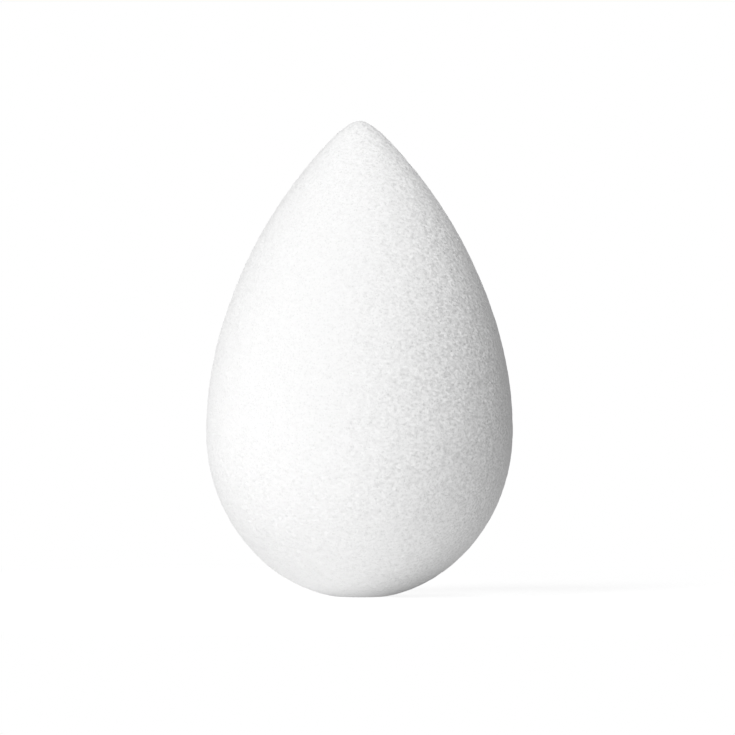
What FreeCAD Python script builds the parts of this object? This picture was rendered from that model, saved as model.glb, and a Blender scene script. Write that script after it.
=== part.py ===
"""Teardrop makeup sponge: one piece of open-cell foam, ground to a body of revolution.

The frame is in millimetres, with +Z up along the sponge's axis. The origin is the middle of the
small flat that the sponge rests on, and the tip is straight above it.

Half of the outline is a chain of tangent arcs, from the rest flat up to the tip:
base crown, shoulder, belly, flank and tip.
"""

import FreeCAD
import Part
import Sketcher

import enum
import math
import os

NODE_NAME = "sponge_body"
FULL_TURN = 360.0

# Driving dimensions: alias, value in millimetres or degrees, meaning
DIMENSIONS = (
    ("overall_height", 61.0, "mm, from the rest flat to the top of the tip"),
    ("belly_diameter", 39.3, "mm, the widest diameter"),
    ("belly_height", 21.3, "mm, from the rest flat up to the widest diameter"),
    ("belly_arc_radius", 47.0, "mm, outline radius just above the widest diameter"),
    ("belly_arc_angle", 16.5, "degrees that the belly arc turns before the flank begins"),
    ("tip_radius", 2.9, "mm, radius of the blunted tip"),
    ("shoulder_arc_angle", 55.0, "degrees that the shoulder turns below the widest diameter"),
    ("rest_depth", 0.25, "mm that the rest flat is cut into the round base"),
)


class Curve(enum.IntEnum):
    """The half outline's curves, numbered in the order in which they are drawn."""

    REST_LINE = 0
    BASE_ARC = 1
    SHOULDER_ARC = 2
    BELLY_ARC = 3
    FLANK_ARC = 4
    TIP_ARC = 5
    AXIS_LINE = 6
    BASE_POLE = 7


class Fixed(enum.IntEnum):
    """The sketch's own numbers for its origin and its vertical axis."""

    ORIGIN = -1
    VERTICAL_AXIS = -2


class At(enum.IntEnum):
    """The sketch's own numbers for the points of a curve."""

    START = 1
    END = 2
    CENTRE = 3


def make_sheet(doc):
    """Put the driving dimensions into a spreadsheet, one aliased cell each."""
    sheet = doc.addObject("Spreadsheet::Sheet", "Dimensions")
    for row, (alias, value, meaning) in enumerate(DIMENSIONS, start=1):
        sheet.set(f"A{row}", alias)
        sheet.set(f"B{row}", str(value))
        sheet.set(f"C{row}", meaning)
        sheet.setAlias(f"B{row}", alias)
    doc.recompute()
    return sheet


def point(x, y):
    """A point of the outline: x is the distance from the axis, y the height."""
    return FreeCAD.Vector(x, y, 0)


def arc(centre, radius, start, end):
    """An arc that turns anticlockwise between two angles, in radians, about its centre."""
    circle = Part.Circle(centre, FreeCAD.Vector(0, 0, 1), radius)
    return Part.ArcOfCircle(circle, start, end)


def outline(sheet):
    """Half of the outline, in closed form, in the order that the sketch numbers it.

    Two tangent arcs join the belly to the base pole, and two join it to the tip. Each pair has one
    pair of radii that meets at both ends, which follows from where the arcs begin and end.
    """
    belly = sheet.belly_diameter / 2
    belly_z = sheet.belly_height
    height = sheet.overall_height
    depth = sheet.rest_depth

    # Base crown and shoulder, which turn a quarter circle between them
    turn = math.radians(sheet.shoulder_arc_angle)
    drop = belly_z + depth
    share = math.cos(turn) + math.sin(turn) - 1
    crown_radius = (belly * math.sin(turn) - drop * (1 - math.cos(turn))) / share
    shoulder_radius = (drop * math.cos(turn) - belly * (1 - math.sin(turn))) / share
    crown_centre = point(0, crown_radius - depth)
    shoulder_centre = point(belly - shoulder_radius, belly_z)
    rest_radius = math.sqrt(crown_radius**2 - crown_centre.y**2)
    rest_angle = math.atan2(-crown_centre.y, rest_radius)

    # Belly arc, then the one flank radius that is tangent to it and to the tip
    belly_radius = sheet.belly_arc_radius
    tip_radius = sheet.tip_radius
    belly_end = math.radians(sheet.belly_arc_angle)
    outward = point(math.cos(belly_end), math.sin(belly_end))
    belly_centre = point(belly - belly_radius, belly_z)
    tip_centre = point(0, height - tip_radius)
    to_blend = belly_centre + outward * belly_radius - tip_centre
    flank_radius = (to_blend.Length**2 - tip_radius**2) / (2 * (to_blend.dot(outward) - tip_radius))
    flank_centre = belly_centre + outward * (belly_radius - flank_radius)
    to_tip = tip_centre - flank_centre
    tip_start = math.atan2(to_tip.y, to_tip.x)

    return [
        Part.LineSegment(point(0, 0), point(rest_radius, 0)),
        arc(crown_centre, crown_radius, rest_angle, -turn),
        arc(shoulder_centre, shoulder_radius, -turn, 0),
        arc(belly_centre, belly_radius, 0, belly_end),
        arc(flank_centre, flank_radius, belly_end, tip_start),
        arc(tip_centre, tip_radius, tip_start, math.pi / 2),
        Part.LineSegment(point(0, height), point(0, 0)),
    ]


def join_outline(sketch):
    """Tie the outline's curves end to end and place its centres, without any size."""
    rule = Sketcher.Constraint
    rules = [
        rule("Coincident", Curve.REST_LINE, At.START, Fixed.ORIGIN, At.START),
        rule("Horizontal", Curve.REST_LINE),
        rule("Coincident", Curve.REST_LINE, At.END, Curve.BASE_ARC, At.START),
        rule("Tangent", Curve.BASE_ARC, At.END, Curve.SHOULDER_ARC, At.START),
        rule("Tangent", Curve.SHOULDER_ARC, At.END, Curve.BELLY_ARC, At.START),
        rule("Tangent", Curve.BELLY_ARC, At.END, Curve.FLANK_ARC, At.START),
        rule("Tangent", Curve.FLANK_ARC, At.END, Curve.TIP_ARC, At.START),
        rule("Coincident", Curve.TIP_ARC, At.END, Curve.AXIS_LINE, At.START),
        rule("Coincident", Curve.AXIS_LINE, At.END, Fixed.ORIGIN, At.START),
        rule("PointOnObject", Curve.AXIS_LINE, At.START, Fixed.VERTICAL_AXIS),
        rule("PointOnObject", Curve.BASE_ARC, At.CENTRE, Fixed.VERTICAL_AXIS),
        rule("PointOnObject", Curve.TIP_ARC, At.CENTRE, Fixed.VERTICAL_AXIS),
        rule("PointOnObject", Curve.BASE_POLE, At.START, Fixed.VERTICAL_AXIS),
        rule("PointOnObject", Curve.BASE_POLE, At.START, Curve.BASE_ARC),
        rule("Horizontal", Curve.BELLY_ARC, At.CENTRE, Curve.BELLY_ARC, At.START),
    ]
    sketch.addConstraint(rules)


def size_outline(sketch, sheet):
    """Bind each size of the outline to its cell of the sheet."""
    origin = (Fixed.ORIGIN, At.START)
    base_pole = (Curve.BASE_POLE, At.START)
    belly_point = (Curve.BELLY_ARC, At.START)
    tip_point = (Curve.AXIS_LINE, At.START)
    belly_radius = sheet.belly_diameter / 2
    belly_turn = math.radians(sheet.belly_arc_angle)
    lower_turn = math.radians(sheet.shoulder_arc_angle)

    # Each size's name, its formula and the constraint at its first value
    sizes = (
        ("pole_depth", "Dimensions.rest_depth", "DistanceY", *base_pole, *origin, sheet.rest_depth),
        ("belly_reach", "Dimensions.belly_diameter / 2", "DistanceX", *origin, *belly_point, belly_radius),
        ("belly_rise", "Dimensions.belly_height", "DistanceY", *origin, *belly_point, sheet.belly_height),
        ("tip_rise", "Dimensions.overall_height", "DistanceY", *origin, *tip_point, sheet.overall_height),
        ("belly_round", "Dimensions.belly_arc_radius", "Radius", Curve.BELLY_ARC, sheet.belly_arc_radius),
        ("tip_round", "Dimensions.tip_radius", "Radius", Curve.TIP_ARC, sheet.tip_radius),
        ("belly_turn", "Dimensions.belly_arc_angle * 1 deg", "Angle", Curve.BELLY_ARC, belly_turn),
        ("lower_turn", "Dimensions.shoulder_arc_angle * 1 deg", "Angle", Curve.SHOULDER_ARC, lower_turn),
    )
    for name, formula, *terms in sizes:
        index = sketch.addConstraint(Sketcher.Constraint(*terms))
        sketch.renameConstraint(index, name)
        sketch.setExpression(f"Constraints.{name}", formula)


def make_sponge(doc, sheet):
    """The foam body: the half outline, turned once about the sponge's axis."""
    body = doc.addObject("PartDesign::Body", "SpongeBody")
    body.Label = NODE_NAME
    upright = next(plane for plane in body.Origin.OriginFeatures if plane.Role == "XZ_Plane")

    sketch = body.newObject("Sketcher::SketchObject", "HalfOutline")
    sketch.AttachmentSupport = (upright, "")
    sketch.MapMode = "FlatFace"
    sketch.addGeometry(outline(sheet), False)
    sketch.addGeometry(Part.Point(point(0, -sheet.rest_depth)), True)
    join_outline(sketch)
    size_outline(sketch, sheet)
    doc.recompute()

    turned = body.newObject("PartDesign::Revolution", "TurnedFoam")
    turned.Profile = sketch
    turned.ReferenceAxis = (sketch, ["V_Axis"])
    turned.Angle = FULL_TURN
    sketch.Visibility = False

    # The rest flat's middle is the frame's origin
    body.Placement = FreeCAD.Placement()
    doc.recompute()
    if sketch.solve() != 0 or not sketch.FullyConstrained:
        raise RuntimeError("the half outline isn't fully constrained")
    return body


def check(doc, bodies):
    """Stop before anything is written if an object failed or a body isn't one valid solid."""
    failed = [item.Label for item in doc.Objects if {"Invalid", "Error"} & set(item.State)]
    if failed:
        raise RuntimeError(f"these objects failed: {failed}")
    for body in bodies:
        shape = body.Shape
        if shape.isNull() or not shape.isValid() or len(shape.Solids) != 1:
            raise RuntimeError(f"{body.Label} isn't one valid solid")


def main():
    """Build the document, check it and write one file for each body."""
    doc = FreeCAD.newDocument("MakeupSponge")
    sheet = make_sheet(doc)
    bodies = [make_sponge(doc, sheet)]
    check(doc, bodies)

    os.makedirs("parts", exist_ok=True)
    for body in bodies:
        body.Shape.exportStep(f"parts/{body.Label}.step")
        box = body.Shape.BoundBox
        print(f"{body.Label}: {box.XLength:.2f} x {box.YLength:.2f} x {box.ZLength:.2f} mm")
        print(f"{body.Label}: volume {body.Shape.Volume:.1f} mm3")


main()
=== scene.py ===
"""Looks of the makeup sponge: one teardrop of white open-cell foam on a white studio sweep.

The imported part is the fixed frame. The foam piece takes its height and its belly from the part's own box. Its
lower arcs follow the part's to within a few tenths of a millimetre, and its nose, tip and rest rim are finer.
Lengths are in metres unless a name says otherwise.
"""

import logging
import math
from dataclasses import dataclass
from enum import Enum
from typing import Any

import bpy
import numpy as np
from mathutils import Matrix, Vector
from numpy.typing import NDArray

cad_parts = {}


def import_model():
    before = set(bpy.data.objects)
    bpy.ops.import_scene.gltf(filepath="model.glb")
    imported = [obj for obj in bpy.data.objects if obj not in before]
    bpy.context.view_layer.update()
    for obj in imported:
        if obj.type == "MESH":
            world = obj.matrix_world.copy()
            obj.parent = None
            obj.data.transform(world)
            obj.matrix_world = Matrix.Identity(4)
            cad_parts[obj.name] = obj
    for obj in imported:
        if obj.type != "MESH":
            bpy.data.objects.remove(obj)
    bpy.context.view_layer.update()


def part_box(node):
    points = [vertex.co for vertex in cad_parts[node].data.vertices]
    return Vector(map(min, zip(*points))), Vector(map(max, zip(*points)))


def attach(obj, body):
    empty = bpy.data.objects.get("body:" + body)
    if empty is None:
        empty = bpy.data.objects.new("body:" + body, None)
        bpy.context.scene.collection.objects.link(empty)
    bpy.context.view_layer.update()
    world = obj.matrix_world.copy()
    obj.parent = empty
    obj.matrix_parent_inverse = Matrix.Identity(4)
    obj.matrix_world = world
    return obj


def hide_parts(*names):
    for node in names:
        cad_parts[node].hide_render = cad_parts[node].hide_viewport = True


Floats = NDArray[np.float64]
Whole = NDArray[np.int64]

MM = 0.001
SPONGE_NODE = "sponge_body"
ROOT_BODY = "root"
FOAM_PIECE = "sponge_foam"
FLOOR_NAME = "white_sweep"
CAMERA_NAME = "photo_camera"
BAKE_SHEET = "OFBake"

WORD = 2**32
AXIS_FACTORS = (0x8DA6B343, 0xD8163841, 0xCB1AB31F)
SALT_FACTOR = 0x9E3779B9
MIX_ROUNDS = ((15, 0x2C1B3C6D), (12, 0x297A2D39))
LAST_SHIFT = 15

SWELL_GAIN = 1.6
CELL_EDGE = 0.62
SHEET_GUTTER = 0.01
AREA_TABLE_SIZE = 8001

log = logging.getLogger("makeup_sponge")


class Ray(Enum):
    """Kinds of light path that see the studio as plain white."""

    CAMERA = "Is Camera Ray"
    GLOSSY = "Is Glossy Ray"
    TRANSMISSION = "Is Transmission Ray"


class Texture(Enum):
    """Kinds of uneven surface that the foam's relief is made of."""

    SWELL = "swell"
    CELLS = "cells"


def grey(level: float) -> tuple[float, float, float, float]:
    """An opaque grey of one level."""
    return (level, level, level, 1.0)


def eased(share: Floats) -> Floats:
    """Ease a share, cut to the range from 0 to 1 as t, by the curve 3 t^2 - 2 t^3."""
    t = np.clip(share, 0.0, 1.0)
    return t * t * (3 - 2 * t)


def hashed(cells: Whole, salt: int) -> Floats:
    """Give each cell of a whole-number lattice its own repeatable number.

    The coordinates are multiplied by large odd numbers and mixed by exclusive or, and two rounds of shift and
    multiply spread the bits.

    Args:
        cells: Whole coordinates, with the three axes last.
        salt: Picks one of many independent sets of numbers.

    Returns:
        Numbers from 0 up to 1, one for each cell.
    """
    x, y, z = np.moveaxis(cells.astype(np.uint32), -1, 0)
    by_x, by_y, by_z = (np.uint32(factor) for factor in AXIS_FACTORS)
    mixed = x * by_x ^ y * by_y ^ z * by_z
    mixed ^= np.uint32(salt * SALT_FACTOR % WORD)
    for shift, factor in MIX_ROUNDS:
        mixed ^= mixed >> np.uint32(shift)
        mixed *= np.uint32(factor)
    mixed ^= mixed >> np.uint32(LAST_SHIFT)
    return mixed / float(WORD)


def swell_noise(points: Floats, size: float, salt: int) -> Floats:
    """Smooth noise about 0, whose bumps are about one size across.

    Each corner of a cube of that size has a hashed slope. A point blends what the eight slopes say at
    its place by the fade 6 t^5 - 15 t^4 + 10 t^3 on each axis.

    Args:
        points: Places, one row each.
        size: Side of the cubes, in the same unit as the points.
        salt: Picks an independent field.

    Returns:
        Heights from about -1 to 1, one for each point.
    """
    scaled = points / size
    base = np.floor(scaled).astype(np.int64)
    part = scaled - base
    fade = part**3 * (part * (part * 6 - 15) + 10)
    total = np.zeros(len(points))
    for corner in np.ndindex(2, 2, 2):
        at = base + corner
        slope = np.stack([hashed(at, 3 * salt + axis) for axis in range(3)], axis=-1) * 2 - 1
        share = np.prod(np.where(corner, fade, 1 - fade), axis=-1)
        total += share * np.sum(slope * (part - corner), axis=-1)
    return total * SWELL_GAIN


def cell_distance(points: Floats, size: float, salt: int) -> Floats:
    """Distance from each point to the nearest cell centre of a random foam.

    Each cube of the given size holds one hashed centre, and the nearest one lies in the point's own cube
    or in one of the 26 around it.

    Args:
        points: Places, one row each.
        size: Side of the cubes, which is about the distance between centres.
        salt: Picks an independent foam.

    Returns:
        Distances in units of the size, one for each point.
    """
    scaled = points / size
    base = np.floor(scaled).astype(np.int64)
    nearest = np.full(len(points), np.inf)
    for step in np.ndindex(3, 3, 3):
        at = base + step - 1
        centre = at + np.stack([hashed(at, 3 * salt + axis) for axis in range(3)], axis=-1)
        nearest = np.minimum(nearest, np.linalg.norm(scaled - centre, axis=-1))
    return nearest


def cube_lattice(steps: int) -> tuple[Floats, Whole, Floats]:
    """Points and faces of a unit ball, from a cube whose six sides are even grids.

    On a side, u and v run over whole numbers from 0 to the step count. Each axis of a point is the tangent
    of (2 u / steps - 1) times 45 degrees, and the point is scaled to length 1, which keeps the squares
    even. Points that two or three sides share are one point, so the ball is closed and has no crowded
    poles.

    Args:
        steps: Squares along each edge of the cube.

    Returns:
        Unit directions, the four point numbers of each face, and a flat place for each face corner, where the
        six sides lie side by side on a sheet of three by two.
    """
    ticks = np.arange(steps + 1)
    u, v = np.meshgrid(ticks, ticks, indexing="ij")
    sides, sheet = [], []
    for number, (axis, wall) in enumerate((a, w) for a in range(3) for w in (0, steps)):
        first, second = (axis + 1) % 3, (axis + 2) % 3
        if wall == 0:
            first, second = second, first
        side = np.full((steps + 1, steps + 1, 3), wall)
        side[..., first] = u
        side[..., second] = v
        sides.append(side)
        inside = SHEET_GUTTER + (1 - 2 * SHEET_GUTTER) * np.stack([u, v], axis=-1) / steps
        sheet.append((inside + (number % 3, number // 3)) / (3, 2))
    corners = np.stack(sides)
    keys = corners @ np.array([(steps + 1) ** 2, steps + 1, 1])
    _, first_seen, numbers = np.unique(keys, return_index=True, return_inverse=True)
    grid = numbers.reshape(keys.shape)
    places = np.stack(sheet)

    def around(values: NDArray[Any]) -> NDArray[Any]:
        """Collect the four corners of every square, anticlockwise from outside."""
        return np.stack(
            [values[:, :-1, :-1], values[:, 1:, :-1], values[:, 1:, 1:], values[:, :-1, 1:]], axis=3
        )

    tangents = np.tan((2 * corners.reshape(-1, 3)[first_seen] / steps - 1) * math.pi / 4)
    directions = tangents / np.linalg.norm(tangents, axis=1, keepdims=True)
    return directions, around(grid).reshape(-1, 4), around(places).reshape(-1, 2)


@dataclass(frozen=True)
class Arc:
    """One arc of the half outline, in the plane of distance from the axis and height."""

    centre_r: float
    centre_z: float
    radius: float
    start: float
    end: float

    @property
    def length(self) -> float:
        """Length of the arc along its curve."""
        return self.radius * (self.end - self.start)


@dataclass(frozen=True)
class Outline:
    """Half of the sponge's outline: a chain of tangent arcs from the rest flat to the tip."""

    height: float
    belly_radius: float
    belly_height: float = 21.1 * MM
    belly_arc_radius: float = 47.0 * MM
    belly_arc_angle: float = math.radians(16.5)
    nose_radius: float = 10.0 * MM
    tip_radius: float = 1.9 * MM
    tip_arc_start: float = math.radians(62.0)
    shoulder_arc_angle: float = math.radians(48.0)
    rest_depth: float = 0.25 * MM
    rest_rim_radius: float = 9.0 * MM

    def arcs(self) -> list[Arc]:
        """Work out the chain: rest rim, crown, shoulder, belly, flank, nose and tip.

        Crown and shoulder turn a quarter circle between the belly and a pole that lies the rest depth
        under the flat, which gives both radii. The nose ends where the tip begins, tangent to it. The
        flank is the one arc that is tangent to the belly arc's end and to the nose. The rim rounds the
        edge between the flat and the crown, tangent to both.

        Returns:
            The arcs from the bottom up, each beginning where the one before ends.
        """
        turn = self.shoulder_arc_angle
        drop = self.belly_height + self.rest_depth
        share = math.cos(turn) + math.sin(turn) - 1
        crown = (self.belly_radius * math.sin(turn) - drop * (1 - math.cos(turn))) / share
        shoulder = (drop * math.cos(turn) - self.belly_radius * (1 - math.sin(turn))) / share
        crown_z = crown - self.rest_depth

        rim = self.rest_rim_radius
        rim_r = math.sqrt((crown - rim) ** 2 - (crown_z - rim) ** 2)
        rim_end = math.atan2(rim - crown_z, rim_r)

        nose = self.nose_radius
        tip_z = self.height - self.tip_radius
        nose_r = (self.tip_radius - nose) * math.cos(self.tip_arc_start)
        nose_z = tip_z + (self.tip_radius - nose) * math.sin(self.tip_arc_start)

        belly = self.belly_arc_radius
        bend = self.belly_arc_angle
        out_r, out_z = math.cos(bend), math.sin(bend)
        to_r = self.belly_radius - belly + belly * out_r - nose_r
        to_z = self.belly_height + belly * out_z - nose_z
        reach = to_r * out_r + to_z * out_z - nose
        flank = (to_r**2 + to_z**2 - nose**2) / (2 * reach)
        flank_r = self.belly_radius - belly + (belly - flank) * out_r
        flank_z = self.belly_height + (belly - flank) * out_z
        flank_end = math.atan2(nose_z - flank_z, nose_r - flank_r)
        return [
            Arc(rim_r, rim, rim, -math.pi / 2, rim_end),
            Arc(0.0, crown_z, crown, rim_end, -turn),
            Arc(self.belly_radius - shoulder, self.belly_height, shoulder, -turn, 0.0),
            Arc(self.belly_radius - belly, self.belly_height, belly, 0.0, bend),
            Arc(flank_r, flank_z, flank, bend, flank_end),
            Arc(nose_r, nose_z, nose, flank_end, self.tip_arc_start),
            Arc(0.0, tip_z, self.tip_radius, self.tip_arc_start, math.pi / 2),
        ]

    def length(self) -> float:
        """Length of the half outline from the middle of the flat to the tip."""
        arcs = self.arcs()
        return arcs[0].centre_r + sum(arc.length for arc in arcs)

    def walk(self, along: Floats) -> tuple[Floats, Floats]:
        """Follow the half outline.

        On the flat, the distance from the axis is the length walked and the normal points down. On an
        arc, the angle is its start plus the length walked on it over its radius, the point is the centre
        plus the radius times (cosine, sine), and (cosine, sine) is the normal.

        Args:
            along: Lengths from the middle of the flat.

        Returns:
            Points and outward normals, as rows of distance from the axis and height.
        """
        arcs = self.arcs()
        point = np.stack([along, np.zeros_like(along)], axis=1)
        normal = np.tile((0.0, -1.0), (len(along), 1))
        reached = arcs[0].centre_r
        for arc in arcs:
            on_arc = along > reached
            angle = arc.start + (along[on_arc] - reached) / arc.radius
            facing = np.stack([np.cos(angle), np.sin(angle)], axis=1)
            point[on_arc] = (arc.centre_r, arc.centre_z) + arc.radius * facing
            normal[on_arc] = facing
            reached += arc.length
        return point, normal

    def length_at_area(self, share: Floats) -> Floats:
        """Length along the outline below which a share of the whole surface lies.

        The area below a length is the integral of 2 pi times the distance from the axis, added up on a fine
        table and read backwards.

        Args:
            share: Shares of the surface, from 0 at the flat's middle to 1 at the tip.

        Returns:
            Lengths from the middle of the flat.
        """
        table = np.linspace(0.0, self.length(), AREA_TABLE_SIZE)
        radius = self.walk(table)[0][:, 0]
        area = np.concatenate([[0.0], np.cumsum((radius[1:] + radius[:-1]) * np.diff(table))])
        return np.interp(share, area / area[-1], table)


@dataclass(frozen=True)
class ReliefLayer:
    """One scale of the foam's uneven surface."""

    texture: Texture
    size: float
    depth: float
    salt: int

    def heights(self, points: Floats) -> Floats:
        """Height of this layer over the smooth surface.

        A swell is smooth noise times the depth. A cell layer falls by the depth at each cell's centre and
        rises to nothing at its edge, eased over the distance.

        Args:
            points: Places on the smooth surface.

        Returns:
            Heights along the normal, one for each point.
        """
        if self.texture is Texture.SWELL:
            return self.depth * swell_noise(points, self.size, self.salt)
        from_centre = cell_distance(points, self.size, self.salt) / CELL_EDGE
        return self.depth * (eased(from_centre) - 1)


class NodeSheet:
    """A short way to write a material's or a world's nodes."""

    def __init__(self, tree: bpy.types.NodeTree) -> None:
        """Start with an empty sheet of nodes."""
        self.tree = tree
        tree.nodes.clear()

    def add(self, kind: str, inputs: dict[Any, Any] | None = None, **settings: Any) -> bpy.types.Node:
        """Make a node.

        Args:
            kind: Blender's name of the node's type.
            inputs: Values, or outputs to link, by input name or number.
            settings: Values of the node's own settings.

        Returns:
            The new node.
        """
        node = self.tree.nodes.new(kind)
        for name, value in settings.items():
            setattr(node, name, value)
        for name, value in (inputs or {}).items():
            if isinstance(value, bpy.types.NodeSocket):
                self.tree.links.new(value, node.inputs[name])
            else:
                node.inputs[name].default_value = value
        return node

    def maths(self, operation: str, first: Any, second: Any, clamp: bool = False) -> bpy.types.NodeSocket:
        """Join two numbers by a named operation and return the result's output."""
        node = self.add("ShaderNodeMath", {0: first, 1: second}, operation=operation, use_clamp=clamp)
        return node.outputs[0]

    def seen_plainly(self) -> bpy.types.NodeSocket:
        """Pick out the light paths that see the studio as plain white.

        Returns:
            An output that is 1 on those paths and 0 on the others.
        """
        path = self.add("ShaderNodeLightPath")
        camera, glossy, through = (path.outputs[ray.value] for ray in Ray)
        return self.maths("MAXIMUM", self.maths("MAXIMUM", camera, glossy), through)


@dataclass(frozen=True)
class FoamFinish:
    """White open-cell foam: matte, faintly mottled, with fine pores darkened at their middles by painted shade.
    """

    colour: float = 0.945
    # The colour at a pore's middle is painted shade, darker than the foam's own colour.
    painted_pore_shade: float = 0.82
    roughness: float = 1.0
    specular: float = 0.08
    pore_size: float = 0.26 * MM
    pore_floor: float = 0.10
    pore_edge: float = 0.52
    pore_depth: float = 0.024 * MM
    nap_size: float = 0.46 * MM
    nap_flatness: float = 1.5
    nap_tilt: float = 0.95
    mottle_size: float = 2.2 * MM
    mottle_share: float = 0.10
    noise_detail: float = 1.0
    noise_roughness: float = 0.5

    def material(self) -> bpy.types.Material:
        """Build the foam's material on the piece's own coordinates.

        The pores are the cells of a fine random foam, each with a depth of its own, deeper at their middles and
        darker there by painted shade, and a slow mottle shifts the colour at random in places. The cut cell
        walls stand as a short nap, which tilts the surface at random.

        Returns:
            The material.
        """
        material = bpy.data.materials.new("white_open_cell_foam")
        material.use_nodes = True
        sheet = NodeSheet(material.node_tree)
        place = sheet.add("ShaderNodeTexCoord").outputs["Object"]
        pores = sheet.add("ShaderNodeTexVoronoi", {"Vector": place, "Scale": 1 / self.pore_size})
        pit = sheet.add(
            "ShaderNodeMapRange",
            {
                "Value": pores.outputs["Distance"],
                "From Min": self.pore_floor,
                "From Max": self.pore_edge,
                "To Min": 1.0,
                "To Max": 0.0,
            },
            interpolation_type="SMOOTHSTEP",
        ).outputs["Result"]
        wall = sheet.maths("SUBTRACT", 1.0, sheet.maths("MULTIPLY", pit, pores.outputs["Color"]))
        mottle = sheet.add(
            "ShaderNodeTexNoise",
            {"Vector": place, "Scale": 1 / self.mottle_size, "Detail": self.noise_detail},
        ).outputs[0]
        rise = sheet.maths("MULTIPLY", wall, self.pore_depth)
        bump = sheet.add(
            "ShaderNodeBump",
            {"Strength": 1.0, "Distance": 1.0, "Height": rise, "Normal": self.nap(sheet, place)},
        )
        lift = sheet.maths("MULTIPLY", mottle, self.mottle_share)
        # Painted shade: the colour darkens towards each pore's middle, where shade falls in the hollow; the
        # mottle adds random tone.
        shade = sheet.maths("ADD", sheet.maths("MULTIPLY", wall, 1 - self.mottle_share), lift, clamp=True)
        surface = sheet.add(
            "ShaderNodeBsdfPrincipled",
            {
                "Base Color": self.tint(sheet, shade),
                "Roughness": self.roughness,
                "Specular IOR Level": self.specular,
                "Normal": bump.outputs["Normal"],
            },
        )
        sheet.add("ShaderNodeOutputMaterial", {"Surface": surface.outputs[0]})
        return material

    def nap(self, sheet: NodeSheet, place: bpy.types.NodeSocket) -> bpy.types.NodeSocket:
        """Tilt the surface's normal by noise on each axis.

        The noise's cells are flatter than they are wide. Its three channels, less their middle and times the
        tilt, are added to the normal, and the sum is scaled to length 1.

        Args:
            sheet: The material's nodes.
            place: The piece's own coordinates.

        Returns:
            The tilted normal.
        """
        squeezed = sheet.add("ShaderNodeMapping", {"Vector": place, "Scale": (1.0, 1.0, self.nap_flatness)})
        noise = sheet.add(
            "ShaderNodeTexNoise",
            {
                "Vector": squeezed.outputs[0],
                "Scale": 1 / self.nap_size,
                "Detail": self.noise_detail,
                "Roughness": self.noise_roughness,
            },
        ).outputs["Color"]
        middle = (0.5, 0.5, 0.5)
        lean = sheet.add("ShaderNodeVectorMath", {0: noise, 1: middle}, operation="SUBTRACT").outputs[0]
        tilt = sheet.add(
            "ShaderNodeVectorMath", {0: lean, "Scale": self.nap_tilt}, operation="SCALE"
        ).outputs[0]
        facing = sheet.add("ShaderNodeNewGeometry").outputs["Normal"]
        tilted = sheet.add("ShaderNodeVectorMath", {0: facing, 1: tilt}, operation="ADD").outputs[0]
        return sheet.add("ShaderNodeVectorMath", {0: tilted}, operation="NORMALIZE").outputs[0]

    def tint(self, sheet: NodeSheet, shade: bpy.types.NodeSocket) -> bpy.types.NodeSocket:
        """Turn a shade into the colour between a pore's painted shade and the wall's.

        Args:
            sheet: The material's nodes.
            shade: Share of the wall's colour, from 0 to 1.

        Returns:
            The colour.
        """
        ramp = sheet.add("ShaderNodeValToRGB", {"Fac": shade})
        ramp.color_ramp.elements[0].color = grey(self.painted_pore_shade)
        ramp.color_ramp.elements[1].color = grey(self.colour)
        return ramp.outputs["Color"]


@dataclass
class FoamSponge:
    """The sponge itself: one teardrop of foam, ground to shape and left with its open surface."""

    outline: Outline
    finish: FoamFinish = FoamFinish()
    steps: int = 128
    fill: float = 1.0
    calm_reach: float = 4.0 * MM
    relief: tuple[ReliefLayer, ...] = (
        ReliefLayer(Texture.SWELL, size=14.0 * MM, depth=0.05 * MM, salt=1),
        ReliefLayer(Texture.SWELL, size=2.4 * MM, depth=0.020 * MM, salt=2),
        ReliefLayer(Texture.SWELL, size=0.80 * MM, depth=0.032 * MM, salt=3),
        ReliefLayer(Texture.CELLS, size=0.75 * MM, depth=0.026 * MM, salt=4),
    )

    def build(self) -> bpy.types.Object:
        """Make the foam's mesh.

        A direction of the ball with height h, from -1 to 1, has (1 + h) / 2 of the ball's area below it.
        The point on the sponge with the same share of the sponge's area below it, at the same turn about
        the axis, takes the direction's place. The relief then moves each point along its normal. It fades
        out towards the rest flat and the tip, and nothing goes below the surface that the sponge stands
        on.

        Returns:
            The foam piece.
        """
        directions, faces, sheet = cube_lattice(self.steps)
        along = self.outline.length_at_area((1 + directions[:, 2]) / 2)
        point, normal = self.outline.walk(along)
        turn = np.arctan2(directions[:, 1], directions[:, 0])
        around = np.stack([np.cos(turn), np.sin(turn)], axis=1)
        smooth = np.column_stack([around * point[:, :1], point[:, 1]])
        facing = np.column_stack([around * normal[:, :1], normal[:, 1]])
        lift = self.calm(along) * sum(layer.heights(smooth) for layer in self.relief)
        places = smooth + facing * lift[:, None]
        places[:, 2] = np.maximum(places[:, 2], 0.0)

        mesh = bpy.data.meshes.new(FOAM_PIECE)
        mesh.from_pydata(places, [], faces)
        mesh.uv_layers.new(name=BAKE_SHEET).uv.foreach_set("vector", sheet.astype(np.float32).ravel())
        mesh.shade_smooth()
        piece = bpy.data.objects.new(FOAM_PIECE, mesh)
        bpy.context.collection.objects.link(piece)
        return piece

    def calm(self, along: Floats) -> Floats:
        """Share of the relief that is left near the ends of the outline.

        The share is the distance from the nearer end of the round surface over the calm reach, eased.

        Args:
            along: Lengths from the middle of the rest flat.

        Returns:
            Shares from 0 to 1.
        """
        from_rest = along - self.outline.arcs()[0].centre_r
        from_tip = self.outline.length() - along
        return eased(np.minimum(from_rest, from_tip) / self.calm_reach)

    def dress(self, piece: bpy.types.Object) -> None:
        """Give the foam its finish and put it in the place of its solid.

        Args:
            piece: The foam piece.
        """
        piece.data.materials.append(self.finish.material())
        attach(piece, ROOT_BODY)
        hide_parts(SPONGE_NODE)


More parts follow.
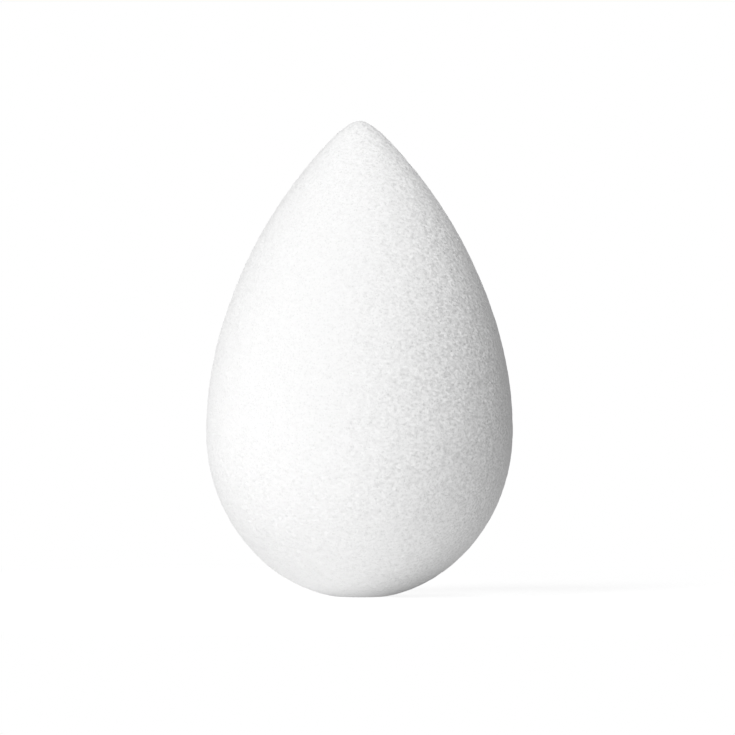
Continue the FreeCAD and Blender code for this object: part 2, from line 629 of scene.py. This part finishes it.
def standing_point(azimuth: float, elevation: float, distance: float, about: Vector) -> Vector:
    """A place around the sponge, seen from a point of it.

    Args:
        azimuth: Degrees to the right of the camera's side, which is towards -Y.
        elevation: Degrees above the level of the point.
        distance: Distance from the point.
        about: The point.

    Returns:
        The place.
    """
    turn, rise = math.radians(azimuth), math.radians(elevation)
    level = math.cos(rise)
    return about + distance * Vector((math.sin(turn) * level, -math.cos(turn) * level, math.sin(rise)))


@dataclass(frozen=True)
class SoftLamp:
    """A square soft box that faces the sponge, placed by degrees around it and above its middle."""

    name: str
    azimuth: float
    elevation: float
    side: float
    level: float
    distance: float = 0.7

    def build(self, target: Vector) -> bpy.types.Object:
        """Make the lamp.

        A box as bright as a white card at full light has level 1, so its power is the level times pi
        times its area.

        Args:
            target: The point that the lamp faces.

        Returns:
            The lamp.
        """
        light = bpy.data.lights.new(self.name, "AREA")
        light.shape = "SQUARE"
        light.size = self.side
        light.energy = self.level * math.pi * self.side**2
        lamp = bpy.data.objects.new(self.name, light)
        lamp.location = standing_point(self.azimuth, self.elevation, self.distance, target)
        lamp.rotation_euler = (target - lamp.location).to_track_quat("-Z", "Y").to_euler()
        lamp.visible_camera = False
        bpy.context.collection.objects.link(lamp)
        return lamp


@dataclass(frozen=True)
class WhiteSweep:
    """The white studio surface under the sponge, which runs out of sight in every direction."""

    half_width: float = 3.0
    albedo: float = 0.30
    # Strengths of the table's painted glow, which lights the sponge from below for bounced light; the shaded
    # and contact levels paint the sponge's shadow into it.
    lit_level: float = 0.61
    shaded_level: float = 0.46
    painted_contact_shadow_level: float = 0.0
    far_level: float = 0.27
    shaded_azimuth: float = math.radians(35.0)
    edge_reach: float = 8.0 * MM
    contact_inner: float = 4.0 * MM
    contact_outer: float = 20.0 * MM
    plain_level: float = 0.82
    shadow_albedo: float = 0.45
    near_radius: float = 60.0 * MM
    far_radius: float = 130.0 * MM

    def build(self) -> bpy.types.Object:
        """Make the surface, one square at the height of the sponge's rest flat.

        Returns:
            The floor.
        """
        edge = self.half_width
        corners = [(-edge, -edge, 0.0), (edge, -edge, 0.0), (edge, edge, 0.0), (-edge, edge, 0.0)]
        mesh = bpy.data.meshes.new(FLOOR_NAME)
        mesh.from_pydata(corners, [], [(0, 1, 2, 3)])
        mesh.materials.append(self.material())
        floor = bpy.data.objects.new(FLOOR_NAME, mesh)
        bpy.context.collection.objects.link(floor)
        return floor

    def material(self) -> bpy.types.Material:
        """Build the surface's material.

        Light that bounces sees a painted glow on the table, as of a table lit through its paper, with a painted
        shadow in it: less on the sponge's shaded side, least where the sponge stands there, and evenly far
        away. The camera sees paper with most of the white added, so that open floor is white and the sponge's
        shadow stays on it faintly, and far from the sponge only white.

        Returns:
            The material.
        """
        material = bpy.data.materials.new("white_sweep_paper")
        material.use_nodes = True
        sheet = NodeSheet(material.node_tree)
        place = sheet.add("ShaderNodeTexCoord").outputs["Object"]
        reach = sheet.add("ShaderNodeVectorMath", {0: place}, operation="LENGTH").outputs["Value"]
        far = sheet.add(
            "ShaderNodeMapRange",
            {"Value": reach, "From Min": self.near_radius, "From Max": self.far_radius},
            interpolation_type="SMOOTHSTEP",
        ).outputs["Result"]
        # Painted glow with a painted shadow in it: the table's emission lights the sponge for bounced light,
        # dimmer on the sponge's shaded side and least at its foot.
        glow = sheet.add(
            "ShaderNodeMapRange",
            {"Value": far, "To Min": self.near_glow(sheet, place, reach), "To Max": self.far_level},
        ).outputs["Result"]
        lit = sheet.add("ShaderNodeEmission", {"Strength": glow}).outputs[0]
        matte = sheet.add("ShaderNodeBsdfDiffuse", {"Color": grey(self.albedo)}).outputs[0]
        table = sheet.add("ShaderNodeAddShader", {0: matte, 1: lit}).outputs[0]
        faint = sheet.add("ShaderNodeBsdfDiffuse", {"Color": grey(self.shadow_albedo)}).outputs[0]
        plain = sheet.add("ShaderNodeEmission", {"Strength": self.plain_level}).outputs[0]
        white = sheet.add("ShaderNodeEmission", {"Strength": 1.0}).outputs[0]
        shadowed = sheet.add("ShaderNodeAddShader", {0: faint, 1: plain}).outputs[0]
        seen = sheet.add("ShaderNodeMixShader", {0: far, 1: shadowed, 2: white}).outputs[0]
        surface = sheet.add("ShaderNodeMixShader", {0: sheet.seen_plainly(), 1: table, 2: seen}).outputs[0]
        sheet.add("ShaderNodeOutputMaterial", {"Surface": surface})
        return material

    def near_glow(
        self, sheet: NodeSheet, place: bpy.types.NodeSocket, reach: bpy.types.NodeSocket
    ) -> bpy.types.NodeSocket:
        """Work out how brightly the table's painted glow shines near the sponge.

        The shaded side's level, a painted shadow in the glow, rises with the distance from the sponge's axis.
        The place's distance along the shaded direction then carries the glow from the lit level to that one.

        Args:
            sheet: The material's nodes.
            place: The floor's own coordinates.
            reach: Distance from the sponge's axis.

        Returns:
            The strength of the glow.
        """
        shaded = sheet.add(
            "ShaderNodeMapRange",
            {
                "Value": reach,
                "From Min": self.contact_inner,
                "From Max": self.contact_outer,
                "To Min": self.painted_contact_shadow_level,
                "To Max": self.shaded_level,
            },
        ).outputs["Result"]
        away = (math.cos(self.shaded_azimuth), math.sin(self.shaded_azimuth), 0.0)
        across = sheet.add(
            "ShaderNodeVectorMath", {0: place, 1: away}, operation="DOT_PRODUCT"
        ).outputs["Value"]
        return sheet.add(
            "ShaderNodeMapRange",
            {
                "Value": across,
                "From Min": -self.edge_reach,
                "From Max": self.edge_reach,
                "To Min": self.lit_level,
                "To Max": shaded,
            },
        ).outputs["Result"]


@dataclass(frozen=True)
class Studio:
    """The white surroundings and the soft lamps."""

    lamps: tuple[SoftLamp, ...] = (
        SoftLamp("key_front", azimuth=-13.0, elevation=12.0, side=0.35, level=5.2),
        SoftLamp("key_upper_left", azimuth=-40.0, elevation=40.0, side=0.35, level=5.88),
        SoftLamp("rim_left", azimuth=-114.0, elevation=14.0, side=0.45, level=2.28),
        SoftLamp("tip_card", azimuth=52.0, elevation=55.0, side=0.04, level=2.4, distance=0.085),
        SoftLamp("tip_back_card", azimuth=125.0, elevation=60.0, side=0.02, level=1.7, distance=0.055),
        SoftLamp("back_fill", azimuth=172.0, elevation=14.0, side=0.45, level=1.3),
    )
    sweep: WhiteSweep = WhiteSweep()

    def build(self, target: Vector) -> None:
        """Make the lamps, the floor and the surroundings.

        Args:
            target: The point that the lamps face.
        """
        for lamp in self.lamps:
            lamp.build(target)
            log.info("lamp %s", lamp.name)
        floor = self.sweep.build()
        log.info("floor %s", floor.name)
        self.surroundings()

    def surroundings(self) -> None:
        """Show plain white behind the sponge, without any light from there."""
        world = bpy.data.worlds.new("white_surroundings")
        world.use_nodes = True
        bpy.context.scene.world = world
        sheet = NodeSheet(world.node_tree)
        sky = sheet.add("ShaderNodeBackground", {"Color": grey(1.0), "Strength": sheet.seen_plainly()})
        sheet.add("ShaderNodeOutputWorld", {"Surface": sky.outputs[0]})


@dataclass(frozen=True)
class Viewpoint:
    """The camera, at the photograph's viewing angle and framing."""

    frame_px: float = 735.0
    sponge_tall_px: float = 475.9
    sponge_middle_x_px: float = 359.6
    sponge_middle_y_px: float = 358.85
    distance: float = 0.9
    elevation: float = 0.0

    def build(self, middle: Vector, height: float) -> bpy.types.Object:
        """Make the camera.

        The sponge's height over its pixels gives the length of a pixel, and the lens follows from the frame's
        width at the camera's distance. The camera turns by the few pixels between the sponge's middle and the
        frame's middle.

        Args:
            middle: The sponge's middle.
            height: The sponge's height.

        Returns:
            The camera.
        """
        pixel = height / self.sponge_tall_px
        data = bpy.data.cameras.new(CAMERA_NAME)
        data.lens = data.sensor_width * self.distance / (self.frame_px * pixel)
        camera = bpy.data.objects.new(CAMERA_NAME, data)
        camera.location = standing_point(0.0, self.elevation, self.distance, middle)
        right = (self.frame_px / 2 - self.sponge_middle_x_px) * pixel
        down = (self.frame_px / 2 - self.sponge_middle_y_px) * pixel
        aim = middle + Vector((right, 0.0, -down))
        camera.rotation_euler = (aim - camera.location).to_track_quat("-Z", "Y").to_euler()
        bpy.context.collection.objects.link(camera)
        bpy.context.scene.camera = camera
        return camera


def main() -> None:
    """Load the frame, then build the sponge, the studio and the camera in order."""
    logging.basicConfig(level=logging.INFO, format="%(name)s: %(message)s")
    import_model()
    bpy.context.scene.view_settings.view_transform = "Standard"

    low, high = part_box(SPONGE_NODE)
    height = high.z - low.z
    middle = (low + high) / 2
    sponge = FoamSponge(Outline(height=height, belly_radius=(high.x - low.x) / 2))
    piece = sponge.build()
    sponge.dress(piece)
    log.info("piece %s: %d faces", piece.name, len(piece.data.polygons))

    Studio().build(middle)
    camera = Viewpoint().build(middle, height)
    log.info("camera %s: lens %.1f mm", camera.name, camera.data.lens)


if __name__ == "__main__":
    main()
